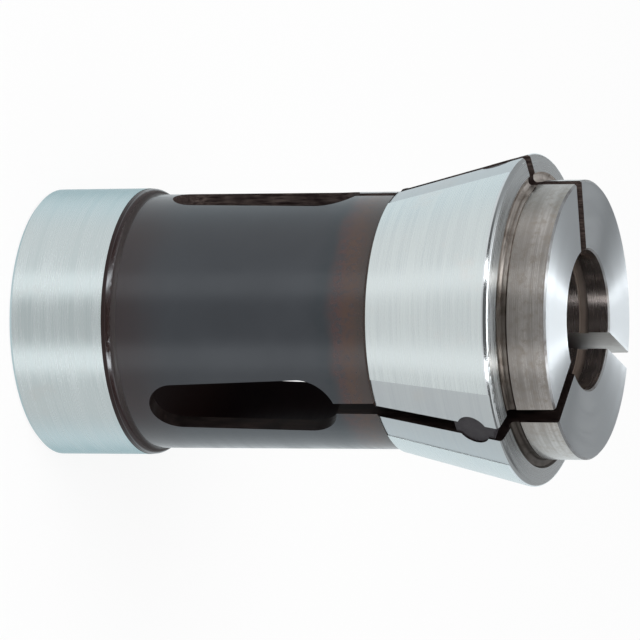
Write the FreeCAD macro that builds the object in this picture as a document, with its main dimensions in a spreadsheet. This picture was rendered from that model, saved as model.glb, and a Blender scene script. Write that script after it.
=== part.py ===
import FreeCAD, Part
import math
import os

import Sketcher
from FreeCAD import Placement, Rotation, Vector

# Push-type collet: a hollow steel sleeve with a ground guide ring at the rear and
# a conical clamping head at the front, split into three fingers by slots that
# start in long windows and run out through the nose. A rubber plug sits in each
# slot, in a round pocket of the cone. The axis is +Z, the nose points up, and the
# origin is the centre of the rear face. Lengths are millimetres, angles degrees.

# The driving dimensions: alias, value, meaning
SIZES = [
    ("overall_length", 100.35, "rear face to nose face"),
    ("ring_radius", 24.0, "ground guide ring"),
    ("ring_length", 17.8, "guide ring, from the rear face"),
    ("ring_chamfer", 0.6, "rear outer edge"),
    ("collar_drop", 0.05, "black collar in front of the ring, below the ring"),
    ("collar_width", 1.2, "collar up to where its slope starts"),
    ("collar_slope", 60.0, "slope down to the body, from the axis"),
    ("collar_crest_round", 1.2, "rounding at the top of the slope"),
    ("collar_foot_round", 0.8, "rounding at the foot of the slope"),
    ("body_recess", 1.15, "outside of the spring sleeve, below the ring"),
    ("body_length", 66.6, "rear face to the shoulder of the cone"),
    ("body_wall", 2.65, "wall of the spring sleeve"),
    ("shoulder_step", 0.65, "45 degree step up to the cone"),
    ("cone_half_angle", 14.1, "clamping cone, from the axis"),
    ("nose_length", 9.15, "nose face back to the outer edge of the head"),
    ("head_face_tilt", 12.0, "front face of the head, rising inwards, from square"),
    ("head_edge_round", 0.85, "edge between cone and head face"),
    ("nose_radius", 24.55, "cylindrical nose"),
    ("nose_chamfer", 0.35, "edge of the nose face"),
    ("undercut_mouth", 1.49, "shallow groove behind the nose, opening in the head face"),
    ("undercut_back", 0.35, "the same groove, its floor behind its edge in the head face"),
    ("undercut_drop", 0.12, "the same groove, below the nose"),
    ("undercut_round", 0.7, "inner corner of the groove"),
    ("undercut_end", 2.17, "outer edge of the head to the end of the groove on the nose"),
    ("undercut_runout", 0.3, "slope at that end"),
    ("rear_bore_chamfer", 1.0, "inner edge of the rear face"),
    ("bore_taper_angle", 45.0, "run from the wide bore to the gripping bore"),
    ("grip_radius", 12.3, "gripping bore"),
    ("grip_length", 30.0, "gripping bore, from the nose face"),
    ("grip_chamfer", 0.3, "mouth of the gripping bore"),
    ("bore_groove_place", 3.9, "nose face to the groove in the gripping bore"),
    ("bore_groove_width", 1.7, "groove in the gripping bore"),
    ("bore_groove_depth", 0.5, "groove in the gripping bore"),
    ("finger_count", 3, "fingers, and with them windows, slots and plugs"),
    ("window_rear_radius", 5.1, "rear end of a window"),
    ("window_front_radius", 6.05, "front end of a window"),
    ("window_rear_centre", 29.35, "centre of the rear end, from the rear face"),
    ("window_front_margin", 13.4, "centre of the front end, behind the shoulder"),
    ("slot_rear_width", 2.3, "slot where it leaves the window"),
    ("slot_front_width", 3.05, "slot at the nose face, with the fingers sprung open"),
    ("relief_half_angle", 16.5, "relieved strip of the cone, each side of a slot"),
    ("relief_depth", 0.12, "relieved strip below the cone, square to the axis"),
    ("plug_setback", 5.2, "centre of a plug pocket, behind the edge of the head"),
    ("plug_pocket_radius", 2.98, "round pocket for a plug"),
    ("plug_floor_radius", 16.5, "floor of the pocket, from the axis"),
    ("plug_clearance", 0.05, "gap between rubber and steel"),
    ("plug_sink", 0.35, "top of a plug below the relieved cone"),
    ("plug_lip_length", 0.6, "rubber in the slot behind the pocket"),
    ("plug_web_setback", 1.3, "front end of the rubber, behind the edge of the head"),
]

# Formulas that several sketches share, in terms of the sheet
BODY_RADIUS = "(Dim.ring_radius - Dim.body_recess)"
REAR_BORE_RADIUS = f"({BODY_RADIUS} - Dim.body_wall)"
COLLAR_RADIUS = "(Dim.ring_radius - Dim.collar_drop)"
COLLAR_CREST = "(Dim.ring_length + Dim.collar_width)"
COLLAR_FOOT = f"({COLLAR_CREST} + ({COLLAR_RADIUS} - {BODY_RADIUS}) / tan(Dim.collar_slope))"
HEAD_FACE = "(Dim.overall_length - Dim.nose_length)"
PLUG_PLACE = f"({HEAD_FACE} - Dim.plug_setback)"
WINDOW_FRONT = "(Dim.body_length - Dim.window_front_margin)"
CONE_START = "(Dim.body_length + Dim.shoulder_step)"
CONE_START_RADIUS = f"({BODY_RADIUS} + Dim.shoulder_step)"
GRIP_START = "(Dim.overall_length - Dim.grip_length)"
TAPER_START = (
    f"({GRIP_START} - ({REAR_BORE_RADIUS} - Dim.grip_radius) / tan(Dim.bore_taper_angle))"
)
# Pockets and pads run outwards from inside the steel by this much, past the head
THROUGH_STEEL = "(2 * Dim.nose_radius)"


def cone_radius(along):
    """Formula for the radius of the clamping cone at a height along the axis."""
    return f"({CONE_START_RADIUS} + ({along} - {CONE_START}) * tan(Dim.cone_half_angle))"


def face_height(across):
    """Formula for the height of the tilted front face of the head at a radius."""
    inwards = f"({cone_radius(HEAD_FACE)} - {across})"
    return f"({HEAD_FACE} + {inwards} * tan(Dim.head_face_tilt))"


def slot_half_width(along):
    """Formula for half the width of a slot, which opens evenly towards the nose."""
    grown = f"({along} - {WINDOW_FRONT})"
    run = f"(Dim.overall_length - {WINDOW_FRONT})"
    growth = "(Dim.slot_front_width - Dim.slot_rear_width)"
    return f"((Dim.slot_rear_width + {growth} * {grown} / {run}) / 2)"


def make_sheet(doc):
    """Write the driving dimensions to the sheet that every sketch reads."""
    sheet = doc.addObject("Spreadsheet::Sheet", "Dim")
    sheet.Label = "Dim"
    for row, (alias, size, meaning) in enumerate(SIZES, start=1):
        sheet.set(f"A{row}", meaning)
        sheet.set(f"B{row}", str(size))
        sheet.setAlias(f"B{row}", alias)
    doc.recompute()
    return sheet


def origin_feature(body, role):
    """Find a plane or axis of the body's own origin."""
    return next(item for item in body.Origin.OriginFeatures if item.Role == role)


def make_sketch(body, name, plane_role, offset=None):
    """Attach a sketch to a plane of the body, moved along its normal by a formula."""
    sketch = body.newObject("Sketcher::SketchObject", name)
    sketch.AttachmentSupport = [(origin_feature(body, plane_role), "")]
    sketch.MapMode = "FlatFace"
    if offset:
        sketch.setExpression("AttachmentOffset.Base.z", offset)
    return sketch


def tie_point(sketch, geometry, point, across, along):
    """Hold a point at two formulas, measured from the origin of the sketch."""
    for kind, formula, axis in (("DistanceX", across, -2), ("DistanceY", along, -1)):
        if formula == "0":
            sketch.addConstraint(Sketcher.Constraint("PointOnObject", geometry, point, axis))
            continue
        size = float(sketch.evalExpression(formula))
        index = sketch.addConstraint(
            Sketcher.Constraint(kind, -1, 1, geometry, point, size)
        )
        sketch.setExpression(f"Constraints[{index}]", formula)


def tie_radius(sketch, geometry, formula):
    """Hold the radius of a circle or arc at a formula."""
    size = float(sketch.evalExpression(formula))
    index = sketch.addConstraint(Sketcher.Constraint("Radius", geometry, size))
    sketch.setExpression(f"Constraints[{index}]", formula)


def draw_outline(sketch, corners, rounds=()):
    """Close straight lines through the corners, each held by its two formulas.

    A pair in rounds gives a corner's number and the formula for its rounding.
    """
    spots = [
        Vector(float(sketch.evalExpression(across)), float(sketch.evalExpression(along)), 0)
        for across, along in corners
    ]
    for start, end in zip(spots, spots[1:] + spots[:1]):
        sketch.addGeometry(Part.LineSegment(start, end))
    for line, (across, along) in enumerate(corners):
        before = (line - 1) % len(corners)
        sketch.addConstraint(Sketcher.Constraint("Coincident", before, 2, line, 1))
        tie_point(sketch, line, 1, across, along)
    for corner, radius in rounds:
        arc = sketch.GeometryCount
        sketch.fillet(corner, 1, float(sketch.evalExpression(radius)), True, True)
        tie_radius(sketch, arc, radius)


def draw_circle(sketch, across, along, radius):
    """Draw a circle held by formulas for its centre and radius."""
    centre = Vector(float(sketch.evalExpression(across)), float(sketch.evalExpression(along)), 0)
    size = float(sketch.evalExpression(radius))
    circle = sketch.addGeometry(Part.Circle(centre, Vector(0, 0, 1), size))
    tie_point(sketch, circle, 3, across, along)
    tie_radius(sketch, circle, radius)


def draw_tapered_capsule(sketch, rear_centre, rear_radius, front_centre, front_radius):
    """Draw two round ends on the upright axis, joined by two tangent sides."""
    low, low_size, high, high_size = (
        float(sketch.evalExpression(formula))
        for formula in (rear_centre, rear_radius, front_centre, front_radius)
    )
    lean = math.asin((high_size - low_size) / (high - low))
    up = Vector(0, 0, 1)
    low_circle = Part.Circle(Vector(0, low, 0), up, low_size)
    high_circle = Part.Circle(Vector(0, high, 0), up, high_size)
    low_arc = sketch.addGeometry(
        Part.ArcOfCircle(low_circle, math.pi + lean, 2 * math.pi - lean)
    )
    high_arc = sketch.addGeometry(Part.ArcOfCircle(high_circle, -lean, math.pi + lean))
    right = sketch.addGeometry(
        Part.LineSegment(low_circle.value(-lean), high_circle.value(-lean))
    )
    left = sketch.addGeometry(
        Part.LineSegment(high_circle.value(math.pi + lean), low_circle.value(math.pi + lean))
    )
    tie_point(sketch, low_arc, 3, "0", rear_centre)
    tie_point(sketch, high_arc, 3, "0", front_centre)
    tie_radius(sketch, low_arc, rear_radius)
    tie_radius(sketch, high_arc, front_radius)
    joints = (
        (low_arc, 2, right, 1),
        (right, 2, high_arc, 1),
        (high_arc, 2, left, 1),
        (left, 2, low_arc, 1),
    )
    for joint in joints:
        sketch.addConstraint(Sketcher.Constraint("Tangent", *joint))


def turn_feature(body, kind, name, sketch, angle=None):
    """Revolve a sketch about the body's Z axis, all round or over a middle angle."""
    feature = body.newObject(kind, name)
    feature.Profile = sketch
    feature.ReferenceAxis = (origin_feature(body, "Z_Axis"), [""])
    feature.Angle = 360.0
    if angle:
        feature.Midplane = True
        feature.setExpression("Angle", angle)
    sketch.Visibility = False
    return feature


def cut_outwards(body, name, sketch):
    """Pocket a sketch from its plane outwards, past all the steel."""
    pocket = body.newObject("PartDesign::Pocket", name)
    pocket.Profile = sketch
    pocket.Type = "Length"
    pocket.Reversed = True
    pocket.setExpression("Length", THROUGH_STEEL)
    sketch.Visibility = False
    return pocket


def ring_edges(feature, radius, height):
    """Names of the feature's whole circles of one radius at one height."""
    near = 1e-4
    names = []
    for number, edge in enumerate(feature.Shape.Edges, start=1):
        curve = edge.Curve
        if not isinstance(curve, Part.Circle):
            continue
        if abs(curve.Radius - radius) < near and abs(curve.Center.z - height) < near:
            names.append(f"Edge{number}")
    return names


def chamfer_ring(doc, body, name, size, radius, height):
    """Chamfer the circular edges of one radius and height, given as formulas."""
    doc.recompute()
    base = body.Tip
    edges = ring_edges(
        base,
        float(base.evalExpression(radius)),
        float(base.evalExpression(height)),
    )
    if not edges:
        raise RuntimeError(f"{name}: no edge at radius {radius}, height {height}")
    chamfer = body.newObject("PartDesign::Chamfer", name)
    chamfer.Base = (base, edges)
    chamfer.setExpression("Size", size)
    body.Tip = chamfer
    return chamfer


def make_collet_body(doc):
    """The steel collet: turned, undercut, relieved, then windowed and slotted."""
    body = doc.addObject("PartDesign::Body", "collet_body")
    body.Label = "collet_body"

    section = make_sketch(body, "turned_section", "XZ_Plane")
    draw_outline(section, [
        (REAR_BORE_RADIUS, "0"),
        ("Dim.ring_radius", "0"),
        ("Dim.ring_radius", "Dim.ring_length"),
        (COLLAR_RADIUS, "Dim.ring_length"),
        (COLLAR_RADIUS, COLLAR_CREST),
        (BODY_RADIUS, COLLAR_FOOT),
        (BODY_RADIUS, "Dim.body_length"),
        (CONE_START_RADIUS, CONE_START),
        (cone_radius(HEAD_FACE), HEAD_FACE),
        ("Dim.nose_radius", face_height("Dim.nose_radius")),
        ("Dim.nose_radius", "Dim.overall_length"),
        ("Dim.grip_radius", "Dim.overall_length"),
        ("Dim.grip_radius", GRIP_START),
        (REAR_BORE_RADIUS, TAPER_START),
    ], rounds=[
        (4, "Dim.collar_crest_round"),
        (5, "Dim.collar_foot_round"),
        (8, "Dim.head_edge_round"),
    ])
    turn_feature(body, "PartDesign::Revolution", "turned_blank", section)

    chamfer_ring(doc, body, "ring_edge", "Dim.ring_chamfer", "Dim.ring_radius", "0")
    chamfer_ring(doc, body, "rear_mouth", "Dim.rear_bore_chamfer", REAR_BORE_RADIUS, "0")
    chamfer_ring(
        doc, body, "nose_edge", "Dim.nose_chamfer", "Dim.nose_radius", "Dim.overall_length"
    )
    chamfer_ring(
        doc, body, "grip_mouth", "Dim.grip_chamfer", "Dim.grip_radius", "Dim.overall_length"
    )

    undercut = make_sketch(body, "undercut_section", "XZ_Plane")
    lip_radius = "(Dim.nose_radius + Dim.undercut_mouth)"
    lip_height = face_height(lip_radius)
    floor_radius = "Dim.nose_radius - Dim.undercut_drop"
    floor_height = f"{lip_height} - Dim.undercut_back"
    end_height = f"{HEAD_FACE} + Dim.undercut_end"
    draw_outline(undercut, [
        (lip_radius, lip_height),
        (f"{lip_radius} - Dim.undercut_back", floor_height),
        (floor_radius, floor_height),
        (floor_radius, f"{end_height} - Dim.undercut_runout"),
        ("Dim.nose_radius", end_height),
    ], rounds=[(2, "Dim.undercut_round")])
    turn_feature(body, "PartDesign::Groove", "undercut", undercut)

    groove = make_sketch(body, "bore_groove_section", "XZ_Plane")
    groove_top = "(Dim.overall_length - Dim.bore_groove_place)"
    groove_foot = f"({groove_top} - Dim.bore_groove_width)"
    draw_outline(groove, [
        ("Dim.grip_radius - Dim.bore_groove_depth", groove_foot),
        ("Dim.grip_radius + Dim.bore_groove_depth", groove_foot),
        ("Dim.grip_radius + Dim.bore_groove_depth", groove_top),
        ("Dim.grip_radius - Dim.bore_groove_depth", groove_top),
    ])
    turn_feature(body, "PartDesign::Groove", "bore_groove", groove)

    relief = make_sketch(body, "relief_section", "XZ_Plane")
    nose_face = "Dim.overall_length"
    draw_outline(relief, [
        (f"{CONE_START_RADIUS} - Dim.relief_depth", CONE_START),
        (f"{cone_radius(nose_face)} - Dim.relief_depth", nose_face),
        (THROUGH_STEEL, nose_face),
        (THROUGH_STEEL, CONE_START),
    ])
    relief_cut = turn_feature(
        body, "PartDesign::Groove", "relief", relief, "2 * Dim.relief_half_angle"
    )

    window = make_sketch(body, "window_outline", "YZ_Plane")
    draw_tapered_capsule(
        window,
        "Dim.window_rear_centre",
        "Dim.window_rear_radius",
        WINDOW_FRONT,
        "Dim.window_front_radius",
    )
    window_cut = cut_outwards(body, "window", window)

    slot = make_sketch(body, "slot_outline", "YZ_Plane")
    rear_half = slot_half_width(WINDOW_FRONT)
    front_half = slot_half_width(nose_face)
    draw_outline(slot, [
        (f"-{rear_half}", WINDOW_FRONT),
        (rear_half, WINDOW_FRONT),
        (front_half, nose_face),
        (f"-{front_half}", nose_face),
    ])
    slot_cut = cut_outwards(body, "slot", slot)

    pocket = make_sketch(body, "plug_pocket_outline", "YZ_Plane", "Dim.plug_floor_radius")
    draw_circle(pocket, "0", PLUG_PLACE, "Dim.plug_pocket_radius")
    pocket_cut = cut_outwards(body, "plug_pocket", pocket)

    fingers = body.newObject("PartDesign::PolarPattern", "fingers")
    fingers.Originals = [relief_cut, window_cut, slot_cut, pocket_cut]
    fingers.Axis = (origin_feature(body, "Z_Axis"), [""])
    fingers.Angle = 360.0
    fingers.setExpression("Occurrences", "Dim.finger_count")
    body.Tip = fingers
    return body


def make_plug(doc, number, turn):
    """A rubber plug: a round stem in its pocket, with a web and a lip in the slot."""
    body = doc.addObject("PartDesign::Body", f"slot_plug_{number}")
    body.Label = f"slot_plug_{number}"
    floor = "Dim.plug_floor_radius + Dim.plug_clearance"

    stem = make_sketch(body, "stem_outline", "YZ_Plane", floor)
    draw_circle(stem, "0", PLUG_PLACE, "Dim.plug_pocket_radius - Dim.plug_clearance")
    web = make_sketch(body, "web_outline", "YZ_Plane", floor)
    rear = f"({PLUG_PLACE} - Dim.plug_pocket_radius - Dim.plug_lip_length)"
    front = f"({HEAD_FACE} - Dim.plug_web_setback)"
    rear_half = f"({slot_half_width(rear)} - Dim.plug_clearance)"
    front_half = f"({slot_half_width(front)} - Dim.plug_clearance)"
    draw_outline(web, [
        (f"-{rear_half}", rear),
        (rear_half, rear),
        (front_half, front),
        (f"-{front_half}", front),
    ])
    for name, outline in (("stem", stem), ("web", web)):
        pad = body.newObject("PartDesign::Pad", name)
        pad.Profile = outline
        pad.Type = "Length"
        pad.setExpression("Length", "Dim.nose_radius")
        outline.Visibility = False

    trim = make_sketch(body, "top_section", "XZ_Plane")
    sunk = "(Dim.relief_depth + Dim.plug_sink)"
    low = "Dim.body_length"
    high = "Dim.overall_length"
    draw_outline(trim, [
        (f"{cone_radius(low)} - {sunk}", low),
        (f"{cone_radius(high)} - {sunk}", high),
        (THROUGH_STEEL, high),
        (THROUGH_STEEL, low),
    ])
    turn_feature(body, "PartDesign::Groove", "flush_top", trim)
    body.Placement = Placement(Vector(0, 0, 0), Rotation(Vector(0, 0, 1), turn))
    return body


def check(doc, bodies):
    """Stop if any object failed or any solid is empty or broken."""
    for item in doc.Objects:
        if {"Invalid", "Error"} & set(item.State):
            raise RuntimeError(f"{item.Name} failed: {item.State}")
    for body in bodies:
        shape = body.Shape
        if shape.isNull() or not shape.isValid() or len(shape.Solids) != 1:
            raise RuntimeError(f"{body.Label} is not one valid solid")


def main():
    """Build the collet and its plugs and write one STEP file for each."""
    doc = FreeCAD.newDocument("push_collet")
    sheet = make_sheet(doc)
    bodies = [make_collet_body(doc)]
    count = int(sheet.finger_count)
    for index in range(count):
        bodies.append(make_plug(doc, index + 1, index * 360.0 / count))
    doc.recompute()
    check(doc, bodies)

    os.makedirs("parts", exist_ok=True)
    for body in bodies:
        body.Shape.exportStep(os.path.join("parts", f"{body.Label}.step"))
        print(f"{body.Label}: {body.Shape.Volume:.1f} mm3")


main()
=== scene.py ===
"""Finishes of the push-type collet, with its studio and camera.

The collet stands on its rear face, with its axis along +Z. Every surface of the steel
body takes the finish of its zone, from the ground ring at the bottom to the turned nose
face at the top, and the three slot plugs are moulded rubber.
"""

from __future__ import annotations

import logging
import math
from dataclasses import dataclass, field
from enum import Enum

import bpy
from mathutils import Matrix, Vector


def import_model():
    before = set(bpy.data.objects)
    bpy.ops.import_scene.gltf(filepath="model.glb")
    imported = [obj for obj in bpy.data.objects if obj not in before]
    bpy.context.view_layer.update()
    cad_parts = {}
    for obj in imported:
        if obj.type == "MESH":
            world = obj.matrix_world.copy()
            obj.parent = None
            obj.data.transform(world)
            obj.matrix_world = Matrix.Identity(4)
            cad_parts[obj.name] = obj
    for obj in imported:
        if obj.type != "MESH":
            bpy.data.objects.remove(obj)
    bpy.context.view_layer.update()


LOG = logging.getLogger("collet")
MM = 0.001
BUMP_DISTANCE = 0.02 * MM

# Turning marks: the share of the fine rings in their tone, and how dense the broad
# rings are beside the fine ones.
FINE_SHARE = 0.55
BROAD_DENSITY = 0.14

Colour = tuple[float, float, float]
Source = bpy.types.NodeSocket | float | tuple[float, ...]


class Sheet:
    """A node tree that is filled in from its inputs to its output."""

    def __init__(self, tree: bpy.types.NodeTree) -> None:
        """Keep the tree that the nodes go into."""
        self.tree = tree

    def node(self, kind: str, **settings: object) -> bpy.types.Node:
        """Add a node.

        Args:
            kind: the node's type name.
            settings: its properties.

        Returns:
            The new node.
        """
        made = self.tree.nodes.new(kind)
        for name, value in settings.items():
            setattr(made, name, value)
        return made

    def feed(self, socket: bpy.types.NodeSocket, source: Source) -> None:
        """Link a socket to its source, or set it where the source is a plain value."""
        if isinstance(source, bpy.types.NodeSocket):
            self.tree.links.new(source, socket)
        elif isinstance(source, tuple) and socket.type == "RGBA":
            socket.default_value = (*source, 1.0)
        else:
            socket.default_value = source

    def maths(self, operation: str, *values: Source) -> bpy.types.NodeSocket:
        """Work one sum on numbers."""
        made = self.node("ShaderNodeMath", operation=operation)
        for socket, value in zip(made.inputs, values):
            self.feed(socket, value)
        return made.outputs[0]

    def vector(self, operation: str, *values: Source) -> bpy.types.NodeSocket:
        """Work one sum on vectors."""
        made = self.node("ShaderNodeVectorMath", operation=operation)
        for socket, value in zip(made.inputs, values):
            self.feed(socket, value)
        plain = operation in ("LENGTH", "DOT_PRODUCT")
        return made.outputs["Value" if plain else "Vector"]

    def split(self, vector: Source) -> tuple[bpy.types.NodeSocket, ...]:
        """Take a vector apart into its three numbers."""
        made = self.node("ShaderNodeSeparateXYZ")
        self.feed(made.inputs[0], vector)
        return tuple(made.outputs)

    def join(self, *numbers: Source) -> bpy.types.NodeSocket:
        """Make a vector of three numbers."""
        made = self.node("ShaderNodeCombineXYZ")
        for socket, number in zip(made.inputs, numbers):
            self.feed(socket, number)
        return made.outputs[0]

    def fade(
        self, value: Source, start: float, end: float, low: float = 0.0, high: float = 1.0
    ) -> bpy.types.NodeSocket:
        """Pass softly from one number to another.

        Args:
            value: what decides.
            start: where the fade starts.
            end: where it ends, above or below the start.
            low: the number before the start.
            high: the number past the end.

        Returns:
            The faded number.
        """
        made = self.node("ShaderNodeMapRange", interpolation_type="SMOOTHSTEP")
        for socket, number in zip(made.inputs, (value, start, end, low, high)):
            self.feed(socket, number)
        return made.outputs[0]

    def noise(
        self, point: Source, scale: float, detail: float = 2.0, rough: float = 0.5
    ) -> bpy.types.NodeSocket:
        """Read a noise from 0 to 1 at a point."""
        made = self.node("ShaderNodeTexNoise")
        self.feed(made.inputs["Vector"], point)
        made.inputs["Scale"].default_value = scale
        made.inputs["Detail"].default_value = detail
        made.inputs["Roughness"].default_value = rough
        return made.outputs[0]

    def mix(self, share: Source, low: Source, high: Source) -> bpy.types.NodeSocket:
        """Mix two numbers by a share from 0 to 1."""
        made = self.node("ShaderNodeMix", data_type="FLOAT")
        for index, value in ((0, share), (2, low), (3, high)):
            self.feed(made.inputs[index], value)
        return made.outputs[0]

    def blend(self, share: Source, low: Source, high: Source) -> bpy.types.NodeSocket:
        """Mix two colours by a share from 0 to 1."""
        made = self.node("ShaderNodeMix", data_type="RGBA")
        self.feed(made.inputs[0], share)
        self.feed(made.inputs[6], low)
        self.feed(made.inputs[7], high)
        return made.outputs[2]

    def darken(self, share: Source, base: Source, painted_shade: Source) -> bpy.types.NodeSocket:
        """Multiply a colour by a painted shade's colour, by a share from 0 to 1."""
        made = self.node("ShaderNodeMix", data_type="RGBA", blend_type="MULTIPLY")
        self.feed(made.inputs[0], share)
        self.feed(made.inputs[6], base)
        self.feed(made.inputs[7], painted_shade)
        return made.outputs[2]

    def group(self, tree: bpy.types.NodeTree, **inputs: Source) -> bpy.types.Node:
        """Place a node group.

        Args:
            tree: the group.
            inputs: values for its inputs, by name.

        Returns:
            The group's node.
        """
        made = self.node("ShaderNodeGroup", node_tree=tree)
        for name, value in inputs.items():
            self.feed(made.inputs[name], value)
        return made


class Effect:
    """A shader node group with named inputs and outputs."""

    def __init__(self, name: str, inputs: dict[str, str], outputs: dict[str, str]) -> None:
        """Start the group.

        Args:
            name: the group's name.
            inputs: socket types of its inputs, by name.
            outputs: socket types of its outputs, by name.
        """
        self.tree = bpy.data.node_groups.new(name, "ShaderNodeTree")
        for side, sockets in (("INPUT", inputs), ("OUTPUT", outputs)):
            for title, kind in sockets.items():
                self.tree.interface.new_socket(title, in_out=side, socket_type=kind)
        self.sheet = Sheet(self.tree)
        self.start = self.sheet.node("NodeGroupInput")
        self.end = self.sheet.node("NodeGroupOutput")

    def give(self, title: str, source: Source) -> None:
        """Feed one output of the group."""
        self.sheet.feed(self.end.inputs[title], source)


class Effects:
    """The node groups that several finishes share."""

    def __init__(self) -> None:
        """Build each group once."""
        self.marks = self.make_marks()
        self.clouds = self.make_clouds()
        self.profile = self.make_profile()

    @staticmethod
    def make_profile() -> bpy.types.NodeTree:
        """Give a point's place on the turned form: its height and radius in millimetres.

        Returns:
            The group, with the height, the radius and a seamless direction round the axis.
        """
        effect = Effect(
            "turned_place",
            {"Point": "NodeSocketVector"},
            {
                "Height": "NodeSocketFloat",
                "Radius": "NodeSocketFloat",
                "Around": "NodeSocketVector",
            },
        )
        sheet = effect.sheet
        x, y, z = sheet.split(effect.start.outputs["Point"])
        flat = sheet.join(x, y, 0.0)
        effect.give("Height", sheet.maths("DIVIDE", z, MM))
        effect.give("Radius", sheet.maths("DIVIDE", sheet.vector("LENGTH", flat), MM))
        effect.give("Around", sheet.vector("NORMALIZE", flat))
        return effect.tree

    @staticmethod
    def make_marks() -> bpy.types.NodeTree:
        """Build the fine rings that turning and grinding leave round the axis.

        Returns:
            The group, with a height for a bump and a tone for the colour.
        """
        effect = Effect(
            "turning_marks",
            {"Point": "NodeSocketVector", "Density": "NodeSocketFloat"},
            {"Height": "NodeSocketFloat", "Tone": "NodeSocketFloat"},
        )
        sheet = effect.sheet
        x, y, z = sheet.split(effect.start.outputs["Point"])
        flat = sheet.join(x, y, 0.0)
        along = sheet.maths("ADD", z, sheet.vector("LENGTH", flat))
        rings = sheet.maths(
            "MULTIPLY",
            sheet.maths("DIVIDE", along, MM),
            effect.start.outputs["Density"],
        )
        cos, sin, _ = sheet.split(sheet.vector("NORMALIZE", flat))
        fine = sheet.noise(sheet.join(rings, cos, sin), 1.0, 3.0, 0.6)
        sparse = sheet.maths("MULTIPLY", rings, BROAD_DENSITY)
        broad = sheet.noise(sheet.join(sparse, sin, cos), 1.0, 2.0)
        effect.give("Height", fine)
        tone = sheet.maths("MULTIPLY", fine, FINE_SHARE)
        effect.give("Tone", sheet.maths("MULTIPLY_ADD", broad, 1.0 - FINE_SHARE, tone))
        return effect.tree

    @staticmethod
    def make_clouds() -> bpy.types.NodeTree:
        """Build uneven patches, as of stain or tarnish on steel.

        Returns:
            The group, with a mask from 0 to 1.
        """
        effect = Effect(
            "patches",
            {
                "Point": "NodeSocketVector",
                "Size": "NodeSocketFloat",
                "Low": "NodeSocketFloat",
                "High": "NodeSocketFloat",
            },
            {"Mask": "NodeSocketFloat"},
        )
        sheet = effect.sheet
        start = effect.start.outputs
        point = sheet.vector("SCALE", start["Point"])
        sheet.feed(
            point.node.inputs["Scale"], sheet.maths("DIVIDE", 1.0 / MM, start["Size"])
        )
        cloud = sheet.noise(point, 1.0, 4.0, 0.6)
        edge = sheet.node("ShaderNodeMapRange", interpolation_type="SMOOTHSTEP")
        for socket, source in zip(edge.inputs, (cloud, start["Low"], start["High"])):
            sheet.feed(socket, source)
        effect.give("Mask", edge.outputs[0])
        return effect.tree


def add_bump(
    sheet: Sheet,
    shader: bpy.types.Node,
    height: Source,
    strength: float,
    distance: float = BUMP_DISTANCE,
) -> None:
    """Give a shader's surface its relief.

    Args:
        sheet: the material's nodes.
        shader: the shader.
        height: the relief's height, from 0 to 1.
        strength: how strongly it shows.
        distance: its depth in metres.
    """
    bump = sheet.node("ShaderNodeBump")
    bump.inputs["Strength"].default_value = strength
    bump.inputs["Distance"].default_value = distance
    sheet.feed(bump.inputs["Height"], height)
    sheet.feed(shader.inputs["Normal"], bump.outputs[0])


def new_material(name: str) -> tuple[bpy.types.Material, Sheet, bpy.types.Node]:
    """Start a material with one Principled shader.

    Args:
        name: the material's name.

    Returns:
        The material, its sheet and the shader.
    """
    made = bpy.data.materials.new(name)
    made.use_nodes = True
    made.node_tree.nodes.clear()
    sheet = Sheet(made.node_tree)
    shader = sheet.node("ShaderNodeBsdfPrincipled")
    out = sheet.node("ShaderNodeOutputMaterial")
    sheet.feed(out.inputs["Surface"], shader.outputs[0])
    return made, sheet, shader


@dataclass(frozen=True)
class HeatAndShadeBand:
    """A colour that comes in between two heights in millimetres: heat colours on the sleeve, and
    painted shade towards the undercut on the nose.
    """

    start: float
    full: float
    colour: Colour
    share: float


@dataclass(frozen=True)
class SideShadeAndBarePatch:
    """A colour on one side of the turned form, mostly painted shade that darkens that side.

    The side is told in degrees from +X towards +Y. The colour starts and is full at two
    cosines of the angle from that side. The scale's bare patch uses one too.
    """

    towards: float
    start: float
    full: float
    colour: Colour
    share: float

    def direction(self) -> tuple[float, float, float]:
        """Give the level direction that the colour faces."""
        angle = math.radians(self.towards)
        return (math.cos(angle), math.sin(angle), 0.0)


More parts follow.
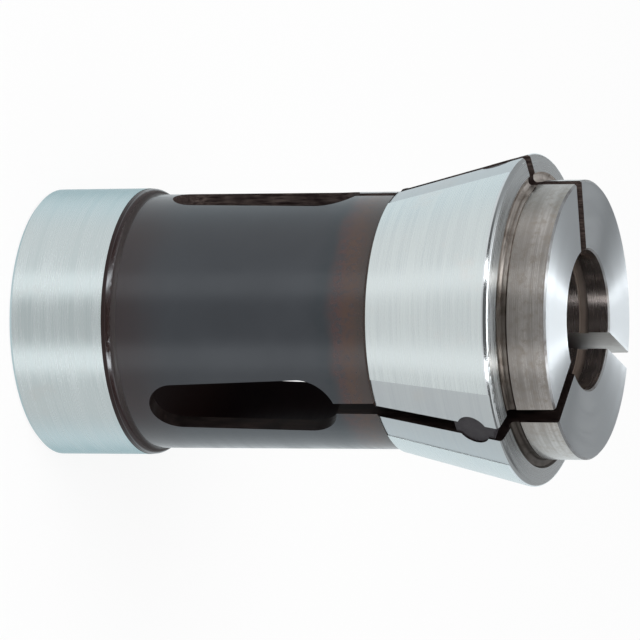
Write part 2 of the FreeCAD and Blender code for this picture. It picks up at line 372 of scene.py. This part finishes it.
@dataclass(frozen=True)
class SteelFinish:
    """Bare steel with rings left by turning or grinding, patches of stain, and on some zones
    painted shade by height or on one side.
    """

    name: str
    light: Colour
    dark: Colour
    stain: Colour
    stain_low: float = 0.55
    stain_high: float = 0.80
    stain_size: float = 9.0
    roughness: float = 0.28
    roughness_spread: float = 0.06
    density: float = 5.0
    depth: float = 0.05
    anisotropy: float = 0.0
    rim: Colour = (1.0, 1.0, 1.0)
    # Painted shade: bands that darken the steel by height, and colours that darken one side.
    bands: tuple[HeatAndShadeBand, ...] = ()
    painted_side_shades: tuple[SideShadeAndBarePatch, ...] = ()

    def build(self, effects: Effects) -> bpy.types.Material:
        """Build the material.

        Args:
            effects: the shared node groups.

        Returns:
            The material.
        """
        made, sheet, shader = new_material(self.name)
        point = sheet.node("ShaderNodeTexCoord").outputs["Object"]
        marks = sheet.group(effects.marks, Point=point, Density=self.density)
        patches = sheet.group(
            effects.clouds,
            Point=point,
            Size=self.stain_size,
            Low=self.stain_low,
            High=self.stain_high,
        )
        tone = sheet.fade(marks.outputs["Tone"], 0.35, 0.65)
        plain = sheet.blend(tone, self.dark, self.light)
        coloured = sheet.blend(patches.outputs["Mask"], plain, self.stain)
        if self.bands or self.painted_side_shades:
            place = sheet.group(effects.profile, Point=point).outputs
            # Painted shade: these bands and side colours darken the colour by height and by side.
            for band in self.bands:
                share = sheet.fade(place["Height"], band.start, band.full, 0.0, band.share)
                coloured = sheet.blend(share, coloured, band.colour)
            for painted_shade in self.painted_side_shades:
                facing = sheet.vector("DOT_PRODUCT", place["Around"], painted_shade.direction())
                share = sheet.fade(facing, painted_shade.start, painted_shade.full, 0.0, painted_shade.share)
                coloured = sheet.darken(share, coloured, painted_shade.colour)
        sheet.feed(shader.inputs["Base Color"], coloured)
        sheet.feed(shader.inputs["Specular Tint"], self.rim)
        low = self.roughness - self.roughness_spread
        high = self.roughness + self.roughness_spread
        sheet.feed(shader.inputs["Roughness"], sheet.fade(tone, 0.0, 1.0, low, high))
        shader.inputs["Metallic"].default_value = 1.0
        if self.anisotropy:
            shader.inputs["Anisotropic"].default_value = self.anisotropy
            shader.inputs["Anisotropic Rotation"].default_value = 0.25
            tangent = sheet.node("ShaderNodeTangent", direction_type="RADIAL", axis="Z")
            sheet.feed(shader.inputs["Tangent"], tangent.outputs[0])
        add_bump(sheet, shader, marks.outputs["Height"], self.depth)
        return made


@dataclass(frozen=True)
class OxideFinish:
    """Black oxide of the spring sleeve, with the heat colours below the head."""

    name: str
    colour: Colour = (0.013, 0.0145, 0.019)
    worn: Colour = (0.018, 0.020, 0.025)
    collar_tint: Colour = (0.014, 0.003, 0.002)
    roughness: float = 0.20
    roughness_spread: float = 0.05
    index: float = 1.68
    depth: float = 0.04
    sheen: Colour = (0.88, 0.95, 1.0)
    bands: tuple[HeatAndShadeBand, ...] = ()
    band_wander: float = 3.4
    collar_tint_end: float = 31.0
    collar_tint_full: float = 20.0

    def build(self, effects: Effects) -> bpy.types.Material:
        """Build the material.

        Args:
            effects: the shared node groups.

        Returns:
            The material.
        """
        made, sheet, shader = new_material(self.name)
        point = sheet.node("ShaderNodeTexCoord").outputs["Object"]
        place = sheet.group(effects.profile, Point=point)
        marks = sheet.group(effects.marks, Point=point, Density=2.2)
        patches = sheet.group(effects.clouds, Point=point, Size=14.0, Low=0.35, High=0.7)
        wander = sheet.noise(point, 130.0, 3.0)
        height = sheet.maths(
            "MULTIPLY_ADD",
            sheet.maths("SUBTRACT", wander, 0.5),
            self.band_wander,
            place.outputs["Height"],
        )
        colour = sheet.blend(patches.outputs["Mask"], self.colour, self.worn)
        collar = sheet.fade(height, self.collar_tint_end, self.collar_tint_full, 0.0, 0.9)
        colour = sheet.blend(collar, colour, self.collar_tint)
        mottle = sheet.fade(sheet.noise(point, 900.0, 4.0, 0.7), 0.36, 0.60, 0.35, 1.0)
        for band in self.bands:
            share = sheet.fade(height, band.start, band.full, 0.0, band.share)
            colour = sheet.blend(sheet.maths("MULTIPLY", share, mottle), colour, band.colour)
        sheet.feed(shader.inputs["Base Color"], colour)
        tone = sheet.fade(marks.outputs["Tone"], 0.3, 0.7)
        low = self.roughness - self.roughness_spread
        high = self.roughness + self.roughness_spread
        sheet.feed(shader.inputs["Roughness"], sheet.fade(tone, 0.0, 1.0, low, high))
        shader.inputs["IOR"].default_value = self.index
        sheet.feed(shader.inputs["Specular Tint"], self.sheen)
        add_bump(sheet, shader, marks.outputs["Height"], self.depth)
        return made


@dataclass(frozen=True)
class ScaleFinish:
    """Brown scale on the walls that were cut before hardening, bare at one slot's front end, with
    painted shade on the sides in its list.
    """

    name: str
    dark: Colour
    light: Colour
    bare: SideShadeAndBarePatch = SideShadeAndBarePatch(240.0, 0.3, 0.6, (0.52, 0.50, 0.48), 1.0)
    # Painted shade: colours that darken the walls on one side.
    painted_side_shades: tuple[SideShadeAndBarePatch, ...] = ()
    bare_start: float = 90.0
    bare_full: float = 97.5
    roughness: float = 0.45
    roughness_spread: float = 0.1
    index: float = 1.35
    depth: float = 0.25
    streak_scale: tuple[float, float, float] = (2600.0, 2600.0, 240.0)

    def build(self, effects: Effects) -> bpy.types.Material:
        """Build the material.

        Args:
            effects: the shared node groups.

        Returns:
            The material.
        """
        made, sheet, shader = new_material(self.name)
        point = sheet.node("ShaderNodeTexCoord").outputs["Object"]
        patches = sheet.group(effects.clouds, Point=point, Size=5.0, Low=0.2, High=0.7)
        stretched = sheet.vector("MULTIPLY", point, self.streak_scale)
        streaks = sheet.noise(stretched, 1.0, 4.0, 0.65)
        share = sheet.maths("MULTIPLY", patches.outputs["Mask"], sheet.fade(streaks, 0.3, 0.75))
        place = sheet.group(effects.profile, Point=point).outputs
        facing = sheet.vector("DOT_PRODUCT", place["Around"], self.bare.direction())
        bare = sheet.maths(
            "MULTIPLY",
            sheet.fade(place["Height"], self.bare_start, self.bare_full),
            sheet.fade(facing, self.bare.start, self.bare.full, 0.0, self.bare.share),
        )
        scale = sheet.blend(share, self.dark, self.light)
        # Painted shade darkens the scale on one side.
        for painted_shade in self.painted_side_shades:
            turned = sheet.vector("DOT_PRODUCT", place["Around"], painted_shade.direction())
            shade_mask = sheet.fade(turned, painted_shade.start, painted_shade.full, 0.0, painted_shade.share)
            scale = sheet.darken(shade_mask, scale, painted_shade.colour)
        sheet.feed(shader.inputs["Base Color"], sheet.blend(bare, scale, self.bare.colour))
        sheet.feed(shader.inputs["Metallic"], bare)
        low = self.roughness - self.roughness_spread
        high = self.roughness + self.roughness_spread
        sheet.feed(shader.inputs["Roughness"], sheet.fade(streaks, 0.3, 0.7, low, high))
        shader.inputs["IOR"].default_value = self.index
        add_bump(sheet, shader, streaks, self.depth, 0.03 * MM)
        return made


@dataclass(frozen=True)
class FilmFinish:
    """Thin brown layer over turned steel, as glossy as the steel under it."""

    name: str
    light: Colour
    dark: Colour
    roughness: float
    roughness_spread: float = 0.04
    index: float = 2.0
    depth: float = 0.08

    def build(self, effects: Effects) -> bpy.types.Material:
        """Build the material.

        Args:
            effects: the shared node groups.

        Returns:
            The material.
        """
        made, sheet, shader = new_material(self.name)
        point = sheet.node("ShaderNodeTexCoord").outputs["Object"]
        marks = sheet.group(effects.marks, Point=point, Density=5.0)
        tone = sheet.fade(marks.outputs["Tone"], 0.3, 0.7)
        sheet.feed(shader.inputs["Base Color"], sheet.blend(tone, self.dark, self.light))
        low = self.roughness - self.roughness_spread
        high = self.roughness + self.roughness_spread
        sheet.feed(shader.inputs["Roughness"], sheet.fade(tone, 0.0, 1.0, low, high))
        shader.inputs["IOR"].default_value = self.index
        add_bump(sheet, shader, marks.outputs["Height"], self.depth)
        return made


@dataclass(frozen=True)
class RubberFinish:
    """Matt moulded rubber with a bloom on its skin."""

    name: str
    colour: Colour = (0.021, 0.018, 0.022)
    bloom: Colour = (0.032, 0.029, 0.033)
    smooth: float = 0.62
    rough: float = 0.80
    depth: float = 0.35

    def build(self, effects: Effects) -> bpy.types.Material:
        """Build the material.

        Args:
            effects: the shared node groups.

        Returns:
            The material.
        """
        made, sheet, shader = new_material(self.name)
        point = sheet.node("ShaderNodeTexCoord").outputs["Object"]
        patches = sheet.group(effects.clouds, Point=point, Size=1.6, Low=0.3, High=0.75)
        colour = sheet.blend(patches.outputs["Mask"], self.colour, self.bloom)
        sheet.feed(shader.inputs["Base Color"], colour)
        skin = sheet.noise(point, 9000.0, 3.0, 0.6)
        roughness = sheet.fade(skin, 0.3, 0.7, self.smooth, self.rough)
        sheet.feed(shader.inputs["Roughness"], roughness)
        add_bump(sheet, shader, skin, self.depth)
        return made


Finish = SteelFinish | OxideFinish | ScaleFinish | FilmFinish


class Zone(Enum):
    """Surfaces of the collet body that differ in finish."""

    RING = "ring_ground_steel"
    REAR = "rear_face_steel"
    COLLAR_EDGE = "collar_edge_black_oxide"
    COLLAR = "collar_black_oxide"
    FOOT = "collar_foot_black_oxide"
    SLEEVE = "sleeve_black_oxide"
    CONE = "cone_ground_steel"
    RELIEF = "relief_satin_steel"
    STEP = "relief_step_steel"
    HEAD = "head_face_steel"
    EDGE = "head_edge_steel"
    UNDERCUT = "undercut_stain_and_shade_steel"
    NOSE = "nose_stain_and_shade_steel"
    NOSE_EDGE = "nose_edge_stained_steel"
    FACE = "nose_face_steel"
    BORE = "grip_bore_steel"
    GROOVE = "bore_groove_steel"
    INSIDE = "rear_bore_black_oxide"
    CUT = "cut_wall_scale_and_shade"


@dataclass
class ColletBody:
    """The steel body, sorted into zones by the places of its faces, in millimetres.

    A face counts as lying on a surface where it is within the slack of it.
    """

    node: str = "collet_body"
    ring_top: float = 17.81
    collar_slope_end: float = 19.42
    collar_foot_end: float = 20.12
    sleeve_radius: float = 22.85
    cone_start: float = 67.25
    cone_start_radius: float = 23.5
    cone_half_angle: float = 14.1
    head_face: float = 91.2
    head_face_tilt: float = 12.0
    undercut_floor: float = 91.58
    undercut_end: float = 93.375
    undercut_radius: float = 26.05
    length: float = 100.35
    grip_radius: float = 12.3
    bore_run_start: float = 70.3
    nose_chamfer: float = 0.36
    edge_depth: float = 0.92
    relief_depth: float = 0.12
    slack: float = 0.02
    finishes: dict[Zone, Finish] = field(default_factory=dict)

    def __post_init__(self) -> None:
        """Set the finish of each zone."""
        bands = (
            HeatAndShadeBand(56.0, 59.0, (0.008, 0.012, 0.016), 0.9),
            HeatAndShadeBand(59.2, 61.6, (0.048, 0.017, 0.013), 0.95),
            HeatAndShadeBand(61.6, 63.4, (0.050, 0.020, 0.008), 0.95),
            HeatAndShadeBand(64.0, 66.2, (0.030, 0.018, 0.012), 0.9),
        )
        self.finishes = {
            Zone.RING: SteelFinish(
                Zone.RING.value,
                light=(0.66, 0.73, 0.74),
                dark=(0.60, 0.68, 0.69),
                stain=(0.62, 0.67, 0.67),
                roughness=0.24,
                rim=(0.56, 0.65, 0.67),
            ),
            Zone.REAR: SteelFinish(
                Zone.REAR.value,
                light=(0.62, 0.66, 0.67),
                dark=(0.50, 0.54, 0.56),
                stain=(0.50, 0.50, 0.48),
                roughness=0.30,
                anisotropy=0.8,
            ),
            Zone.COLLAR: OxideFinish(
                Zone.COLLAR.value,
                colour=(0.020, 0.014, 0.013),
                worn=(0.024, 0.016, 0.014),
                roughness=0.19,
                index=1.85,
            ),
            Zone.FOOT: OxideFinish(
                Zone.FOOT.value,
                colour=(0.030, 0.025, 0.025),
                worn=(0.034, 0.029, 0.028),
                collar_tint=(0.023, 0.016, 0.015),
                roughness=0.45,
                index=1.5,
            ),
            Zone.COLLAR_EDGE: OxideFinish(
                Zone.COLLAR_EDGE.value,
                colour=(0.016, 0.013, 0.013),
                worn=(0.020, 0.016, 0.015),
                roughness=0.32,
                index=1.36,
            ),
            Zone.SLEEVE: OxideFinish(Zone.SLEEVE.value, bands=bands),
            Zone.CONE: SteelFinish(
                Zone.CONE.value,
                light=(0.70, 0.76, 0.76),
                dark=(0.62, 0.68, 0.69),
                stain=(0.69, 0.71, 0.70),
                roughness=0.27,
                density=6.5,
            ),
            Zone.RELIEF: SteelFinish(
                Zone.RELIEF.value,
                light=(0.56, 0.60, 0.61),
                dark=(0.50, 0.54, 0.56),
                stain=(0.54, 0.56, 0.56),
                roughness=0.36,
                density=14.0,
                depth=0.03,
            ),
            Zone.STEP: SteelFinish(
                Zone.STEP.value,
                light=(0.66, 0.70, 0.71),
                dark=(0.62, 0.66, 0.67),
                stain=(0.62, 0.66, 0.67),
                roughness=0.60,
            ),
            Zone.HEAD: SteelFinish(
                Zone.HEAD.value,
                light=(0.74, 0.79, 0.81),
                dark=(0.66, 0.70, 0.72),
                stain=(0.55, 0.53, 0.51),
                roughness=0.30,
                anisotropy=0.7,
            ),
            Zone.EDGE: SteelFinish(
                Zone.EDGE.value,
                light=(0.70, 0.74, 0.76),
                dark=(0.64, 0.68, 0.70),
                stain=(0.66, 0.70, 0.72),
                roughness=0.13,
                roughness_spread=0.005,
                depth=0.0,
            ),
            Zone.UNDERCUT: SteelFinish(
                Zone.UNDERCUT.value,
                light=(0.82, 0.77, 0.725),
                dark=(0.52, 0.475, 0.44),
                stain=(0.22, 0.180, 0.150),
                stain_low=0.42,
                stain_size=3.0,
                roughness=0.34,
                # Painted shade: darker on the side at 125 degrees, between the camera's side and
                # the lower edge of the picture.
                painted_side_shades=(SideShadeAndBarePatch(125.0, 0.05, 0.60, (0.14, 0.128, 0.116), 0.90),),
            ),
            Zone.NOSE: SteelFinish(
                Zone.NOSE.value,
                light=(0.54, 0.52, 0.50),
                dark=(0.36, 0.34, 0.32),
                stain=(0.35, 0.315, 0.275),
                stain_low=0.40,
                stain_size=1.1,
                roughness=0.19,
                # Painted shade: darker towards the undercut, on the side towards the camera, and
                # on the side at 0 degrees near the top of the picture.
                bands=(HeatAndShadeBand(98.5, 93.8, (0.26, 0.240, 0.220), 0.5),),
                painted_side_shades=(
                    SideShadeAndBarePatch(77.5, 0.66, 0.92, (0.58, 0.58, 0.58), 0.80),
                    SideShadeAndBarePatch(0.0, 0.80, 0.92, (0.72, 0.71, 0.70), 1.0),
                ),
            ),
            Zone.NOSE_EDGE: SteelFinish(
                Zone.NOSE_EDGE.value,
                light=(0.62, 0.64, 0.66),
                dark=(0.54, 0.56, 0.58),
                stain=(0.180, 0.160, 0.150),
                stain_low=0.42,
                stain_high=0.72,
                stain_size=7.0,
                roughness=0.40,
                anisotropy=0.8,
            ),
            Zone.FACE: SteelFinish(
                Zone.FACE.value,
                light=(0.755, 0.805, 0.84),
                dark=(0.715, 0.765, 0.80),
                stain=(0.73, 0.775, 0.81),
                roughness=0.42,
                density=4.0,
                depth=0.02,
                anisotropy=0.97,
                # Painted shade: dims the reflection on the part of the face away from the camera.
                painted_side_shades=(SideShadeAndBarePatch(257.5, 0.70, 0.99, (0.86, 0.86, 0.86), 0.9),),
            ),
            Zone.BORE: SteelFinish(
                Zone.BORE.value,
                light=(0.38, 0.34, 0.325),
                dark=(0.35, 0.31, 0.295),
                stain=(0.20, 0.150, 0.125),
                stain_size=4.0,
                roughness=0.27,
                roughness_spread=0.005,
                depth=0.0,
                anisotropy=0.92,
            ),
            Zone.GROOVE: FilmFinish(
                Zone.GROOVE.value,
                light=(0.15, 0.115, 0.093),
                dark=(0.08, 0.060, 0.048),
                roughness=0.5,
            ),
            Zone.INSIDE: OxideFinish(
                Zone.INSIDE.value,
                colour=(0.006, 0.0018, 0.0028),
                worn=(0.009, 0.003, 0.004),
                roughness=0.5,
                index=1.25,
            ),
            Zone.CUT: ScaleFinish(
                Zone.CUT.value,
                dark=(0.012, 0.006, 0.006),
                light=(0.135, 0.103, 0.092),
                # Painted shade: darker on the side at 120 degrees, between the camera's side and
                # the lower edge of the picture.
                painted_side_shades=(SideShadeAndBarePatch(120.0, 0.55, 0.85, (0.10, 0.07, 0.07), 0.9),),
            ),
        }

    def cone_radius(self, height: float) -> float:
        """Give the radius of the cone at a height."""
        rise = (height - self.cone_start) * math.tan(math.radians(self.cone_half_angle))
        return self.cone_start_radius + rise

    def cone_zone(self, height: float, radius: float) -> Zone:
        """Tell the relieved strips from the rest of the cone."""
        sunk = self.cone_radius(height) - radius
        return Zone.RELIEF if sunk > self.relief_depth - 0.05 else Zone.CONE

    def zone_of(self, centre: Vector, normal: Vector) -> Zone:
        """Sort one face into its zone.

        Args:
            centre: the middle of the face, in millimetres.
            normal: its direction.

        Returns:
            The zone.
        """
        height = centre.z
        radius = math.hypot(centre.x, centre.y)
        outward = (centre.x * normal.x + centre.y * normal.y) / radius
        along_round = math.hypot(outward, normal.z)
        if height < self.slack and normal.z < -0.9:
            return Zone.REAR
        if along_round < 0.9:
            return Zone.STEP if self.on_relief(height, radius) else Zone.CUT
        behind_grip = height < self.bore_run_start and outward < -0.3
        if radius < self.grip_radius + 0.6 or behind_grip:
            return self.inside_zone(height, radius)
        if height > self.edge_start() and radius > self.grip_radius + 4.0:
            return self.head_zone(height, radius, outward, normal)
        return self.outside_zone(height, radius, outward)

    def edge_start(self) -> float:
        """Give a height just under the rounded edge of the head."""
        return self.head_face - self.edge_depth

    def on_relief(self, height: float, radius: float) -> bool:
        """Tell whether a place lies in the thin step beside a relieved strip."""
        top = self.cone_radius(height)
        low = top - self.relief_depth - 0.03
        return self.cone_start < height < self.head_face + 0.4 and low < radius < top + self.slack

    def inside_zone(self, height: float, radius: float) -> Zone:
        """Sort a face that looks at the axis."""
        if height < self.bore_run_start:
            return Zone.INSIDE if radius < self.sleeve_radius - 2.0 else Zone.CUT
        off_bore = radius > self.grip_radius + self.slack
        if height > self.length - 1.0 and off_bore:
            return Zone.NOSE_EDGE
        return Zone.GROOVE if off_bore else Zone.BORE

    def head_zone(self, height: float, radius: float, outward: float, normal: Vector) -> Zone:
        """Sort a face of the head's rim, its front face, the undercut or the nose.

        Args:
            height: the height of the face.
            radius: its distance from the axis.
            outward: how far it looks away from the axis, up to 1.
            normal: its direction.

        Returns:
            The zone.
        """
        if radius > self.undercut_radius:
            if normal.z < -0.21:
                return self.cone_zone(height, radius)
            tilt = math.cos(math.radians(self.head_face_tilt))
            return Zone.HEAD if normal.z > tilt - 0.012 else Zone.EDGE
        if height > self.length - self.slack and normal.z > 0.9:
            return Zone.FACE
        if height > self.length - self.nose_chamfer:
            return Zone.NOSE_EDGE
        if self.undercut_floor < height < self.undercut_end:
            return Zone.UNDERCUT
        return Zone.NOSE if outward > 0.9 else Zone.CUT

    def outside_zone(self, height: float, radius: float, outward: float) -> Zone:
        """Sort a face on the outside of the ring, the sleeve or the cone."""
        if height < self.ring_top:
            return Zone.RING
        if height < self.cone_start - self.slack:
            if radius < self.sleeve_radius - 0.06 or outward < 0.3:
                return Zone.CUT
            if height < self.collar_slope_end and outward > 0.66:
                return Zone.COLLAR_EDGE if outward > 0.98 else Zone.COLLAR
            return Zone.FOOT if height < self.collar_foot_end else Zone.SLEEVE
        if outward < 0.5 or self.cone_radius(height) - radius > self.relief_depth + 0.08:
            return Zone.CUT
        return self.cone_zone(height, radius)

    def dress(self, effects: Effects) -> None:
        """Give each face of the body the finish of its zone.

        Args:
            effects: the shared node groups.
        """
        shape = bpy.data.objects[self.node].data
        shape.materials.clear()
        slots = {}
        for index, zone in enumerate(Zone):
            shape.materials.append(self.finishes[zone].build(effects))
            slots[zone] = index
        counts = dict.fromkeys(Zone, 0)
        for face in shape.polygons:
            zone = self.zone_of(face.center / MM, face.normal)
            face.material_index = slots[zone]
            counts[zone] += 1
        for zone, count in counts.items():
            LOG.info("%s: %d faces of %s", self.node, count, zone.value)


@dataclass
class SlotPlugs:
    """The rubber plugs that keep chips out of the slots."""

    nodes: tuple[str, ...] = ("slot_plug_1", "slot_plug_2", "slot_plug_3")
    finish: RubberFinish = field(default_factory=lambda: RubberFinish("slot_plug_rubber"))

    def dress(self, effects: Effects) -> None:
        """Give the plugs their rubber.

        Args:
            effects: the shared node groups.
        """
        rubber = self.finish.build(effects)
        for name in self.nodes:
            shape = bpy.data.objects[name].data
            shape.materials.clear()
            shape.materials.append(rubber)
            LOG.info("%s: %s", name, rubber.name)


@dataclass(frozen=True)
class ViewPoint:
    """Where the camera stands, with the collet's axis running to the right in its picture."""

    lens: float = 291.25
    distance: float = 0.9417
    drop: float = 20.524
    turn: float = 12.5
    roll: float = 0.187
    right: float = 46.948 * MM
    up: float = 0.27 * MM

    def side(self) -> Vector:
        """Give the level direction that is up in the picture."""
        angle = math.radians(self.turn)
        return Vector((math.cos(angle), -math.sin(angle), 0.0))

    def near(self) -> Vector:
        """Give the level direction from the axis to the camera."""
        angle = math.radians(self.turn)
        return Vector((math.sin(angle), math.cos(angle), 0.0))

    def make_camera(self) -> bpy.types.Object:
        """Set up the camera.

        Returns:
            The camera.
        """
        drop, roll = math.radians(self.drop), math.radians(self.roll)
        axis = Vector((0.0, 0.0, 1.0))
        along = math.cos(drop) * axis - math.sin(drop) * self.near()
        back = math.sin(drop) * axis + math.cos(drop) * self.near()
        right = math.cos(roll) * along - math.sin(roll) * self.side()
        up = math.sin(roll) * along + math.cos(roll) * self.side()
        place = self.right * right + self.up * up + self.distance * back
        lens = bpy.data.cameras.new("camera")
        lens.lens = self.lens
        lens.sensor_width = 36.0
        lens.clip_start = 0.05
        lens.clip_end = 60.0
        camera = bpy.data.objects.new("camera", lens)
        turned = Matrix((right, up, back)).transposed().to_4x4()
        camera.matrix_world = Matrix.Translation(place) @ turned
        bpy.context.scene.collection.objects.link(camera)
        bpy.context.scene.camera = camera
        return camera


@dataclass(frozen=True)
class Surroundings:
    """Levels of the shaded room that the steel mirrors.

    Directions are told by their turn from the camera's side, from 0 to 180 degrees on
    either hand, and by their rise above the level, in degrees.
    """

    below: float = 0.85
    below_behind: float = 0.92
    down_side: float = 0.87
    below_middle: float = 0.62
    below_strip: float = 1.10
    strip_turn: float = 33.4
    strip_half_width: float = 9.5
    camera_side: float = 0.12
    window: float = 7.0
    window_half_width: float = 5.5
    window_top_turn: float = 45.0
    far_side: float = 0.36
    far_down_side: float = 0.4
    ceiling: float = 3.30
    ceiling_side: float = 0.55
    ceiling_beside: float = 0.95
    behind_tint: Colour = (0.93, 1.0, 1.03)

    def under(self, sheet: Sheet, turn: Source, rise: Source, down: Source) -> Source:
        """Shade the pale half of the room below the level.

        Args:
            sheet: the world's nodes.
            turn: the direction's turn.
            rise: the direction's rise.
            down: how far the direction lies on the lower hand in the picture, up to 1.

        Returns:
            The level.
        """
        centre = sheet.fade(rise, -20.0, -48.0, self.strip_turn, self.strip_turn + 3.0)
        off = sheet.maths("ABSOLUTE", sheet.maths("SUBTRACT", turn, centre))
        strip = sheet.fade(off, self.strip_half_width + 3.0, self.strip_half_width - 3.0)
        side = sheet.fade(rise, -27.0, -44.0, self.below, self.below + 0.05)
        dimmed = sheet.maths("MULTIPLY", side, sheet.mix(down, 1.0, self.down_side))
        side = sheet.mix(sheet.fade(turn, 44.0, 54.0), side, dimmed)
        side = sheet.mix(sheet.fade(turn, 90.0, 130.0), side, self.below_behind)
        middle = sheet.fade(rise, -27.0, -44.0, self.below_middle, self.below - 0.03)
        level = sheet.mix(sheet.fade(turn, 14.0, 24.0), middle, side)
        return sheet.mix(strip, level, self.below_strip)

    def over(self, sheet: Sheet, turn: Source, rise: Source, sideways: Source) -> Source:
        """Shade the half of the room above the level, with its two windows.

        Args:
            sheet: the world's nodes.
            turn: the direction's turn.
            rise: the direction's rise.
            sideways: how far the direction leans up in the picture, from -1 to 1.

        Returns:
            The level.
        """
        centre = sheet.fade(rise, 8.0, 62.0, self.strip_turn, self.window_top_turn)
        off = sheet.maths("ABSOLUTE", sheet.maths("SUBTRACT", turn, centre))
        window = sheet.fade(off, self.window_half_width + 2.0, self.window_half_width - 2.0)
        window = sheet.maths("MULTIPLY", window, sheet.fade(rise, 66.0, 58.0))
        lower = sheet.fade(sideways, -0.03, -0.15)
        dim = sheet.maths("MULTIPLY", lower, sheet.fade(rise, 24.0, 34.0))
        far = sheet.maths("MULTIPLY", self.far_side, sheet.mix(dim, 1.0, self.far_down_side))
        level = sheet.mix(sheet.fade(turn, 56.0, 100.0), self.camera_side, far)
        start = sheet.fade(turn, 147.0, 180.0, 35.0, 42.0)
        height = sheet.maths("DIVIDE", sheet.maths("SUBTRACT", rise, start), 26.0)
        away = sheet.fade(turn, 50.0, 75.0)
        overhead = sheet.maths("MAXIMUM", away, sheet.fade(rise, 84.0, 88.0))
        top = sheet.maths("MULTIPLY", sheet.fade(height, 0.0, 1.0), overhead)
        lean = sheet.maths("ABSOLUTE", sideways)
        outer = sheet.fade(turn, 97.0, 112.0, self.ceiling_beside, self.ceiling_side)
        ceiling = sheet.mix(sheet.fade(lean, 0.06, 0.38), self.ceiling, outer)
        level = sheet.mix(top, level, ceiling)
        return sheet.mix(window, level, self.window)


@dataclass(frozen=True)
class Studio:
    """Plain soft light, a pale floor, and the pale surroundings that the steel mirrors."""

    view: ViewPoint
    world_light: float = 0.75
    floor_size: float = 30.0
    floor_drop: float = 0.02 * MM
    floor_white_share: float = 0.86
    lamp_power: float = 9.0
    lamp_size: float = 0.9
    lamp_near: float = 0.55
    lamp_side: float = 0.25
    lamp_height: float = 1.1
    room: Surroundings = Surroundings()

    def make_world(self) -> bpy.types.World:
        """Build the surroundings: white to the camera, and shaded for mirrors.

        Returns:
            The world.
        """
        world = bpy.data.worlds.new("studio")
        world.use_nodes = True
        world.node_tree.nodes.clear()
        sheet = Sheet(world.node_tree)
        way = sheet.node("ShaderNodeTexCoord").outputs["Generated"]
        forward = sheet.vector("DOT_PRODUCT", way, tuple(self.view.near()))
        sideways = sheet.vector("DOT_PRODUCT", way, tuple(self.view.side()))
        across = sheet.maths("ABSOLUTE", sideways)
        turn = sheet.maths("DEGREES", sheet.maths("ARCTAN2", across, forward))
        rise = sheet.maths("DEGREES", sheet.maths("ARCSINE", sheet.split(way)[2]))
        down = sheet.fade(sideways, -0.1, -0.5)
        low = self.room.under(sheet, turn, rise, down)
        high = self.room.over(sheet, turn, rise, sideways)
        mirror = sheet.mix(sheet.fade(rise, -6.0, 2.0), low, high)
        path = sheet.node("ShaderNodeLightPath")
        rays = sheet.maths(
            "MAXIMUM", path.outputs["Is Glossy Ray"], path.outputs["Is Transmission Ray"]
        )
        plain = sheet.mix(path.outputs["Is Camera Ray"], self.world_light, 1.0)
        shade = sheet.node("ShaderNodeBackground")
        sheet.feed(shade.inputs["Strength"], sheet.mix(rays, plain, mirror))
        behind = sheet.maths("MULTIPLY", rays, sheet.fade(turn, 80.0, 120.0))
        behind = sheet.maths("MULTIPLY", behind, sheet.fade(rise, 2.0, -6.0))
        white = (1.0, 1.0, 1.0)
        sheet.feed(shade.inputs["Color"], sheet.blend(behind, white, self.room.behind_tint))
        out = sheet.node("ShaderNodeOutputWorld")
        sheet.feed(out.inputs["Surface"], shade.outputs[0])
        bpy.context.scene.world = world
        return world

    def make_floor(self) -> bpy.types.Object:
        """Lay the floor, white to the camera but for the collet's soft shadow.

        Returns:
            The floor.
        """
        bpy.ops.object.select_all(action="DESELECT")
        place = (0.0, 0.0, -self.floor_drop)
        bpy.ops.mesh.primitive_plane_add(size=self.floor_size, location=place)
        floor = bpy.context.object
        floor.name = "floor"
        bpy.ops.object.transform_apply(location=True, rotation=True, scale=True)
        made = bpy.data.materials.new("floor_white")
        made.use_nodes = True
        made.node_tree.nodes.clear()
        sheet = Sheet(made.node_tree)
        matt = sheet.node("ShaderNodeBsdfDiffuse")
        matt.inputs["Color"].default_value = (0.8, 0.8, 0.8, 1.0)
        glow = sheet.node("ShaderNodeEmission")
        glow.inputs["Color"].default_value = (1.0, 1.0, 1.0, 1.0)
        glow.inputs["Strength"].default_value = 1.0
        path = sheet.node("ShaderNodeLightPath")
        seen = path.outputs["Is Camera Ray"]
        share = sheet.maths("MULTIPLY", seen, self.floor_white_share)
        shown = sheet.node("ShaderNodeMixShader")
        sheet.feed(shown.inputs[0], share)
        sheet.feed(shown.inputs[1], matt.outputs[0])
        sheet.feed(shown.inputs[2], glow.outputs[0])
        out = sheet.node("ShaderNodeOutputMaterial")
        sheet.feed(out.inputs["Surface"], shown.outputs[0])
        floor.data.materials.append(made)
        floor.visible_glossy = False
        return floor

    def make_lamp(self) -> bpy.types.Object:
        """Hang one large soft lamp above the collet, on the camera's side.

        Returns:
            The lamp.
        """
        lamp = bpy.data.lights.new("key_lamp", "AREA")
        lamp.shape = "DISK"
        lamp.size = self.lamp_size
        lamp.energy = self.lamp_power
        made = bpy.data.objects.new("key_lamp", lamp)
        across = self.lamp_near * self.view.near() + self.lamp_side * self.view.side()
        made.location = across + Vector((0.0, 0.0, self.lamp_height))
        aim = Vector((0.0, 0.0, 0.05)) - made.location
        made.rotation_mode = "QUATERNION"
        made.rotation_quaternion = aim.to_track_quat("-Z", "Y")
        made.visible_glossy = False
        bpy.context.scene.collection.objects.link(made)
        return made

    def build(self) -> None:
        """Build the surroundings, the floor and the lamp."""
        self.make_world()
        self.make_floor()
        self.make_lamp()
        bpy.context.scene.view_settings.view_transform = "Standard"


def main() -> None:
    """Dress the collet, then build its studio and camera."""
    logging.basicConfig(level=logging.INFO, format="%(name)s: %(message)s")
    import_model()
    effects = Effects()
    ColletBody().dress(effects)
    SlotPlugs().dress(effects)
    view = ViewPoint()
    view.make_camera()
    Studio(view).build()


if __name__ == "__main__":
    main()
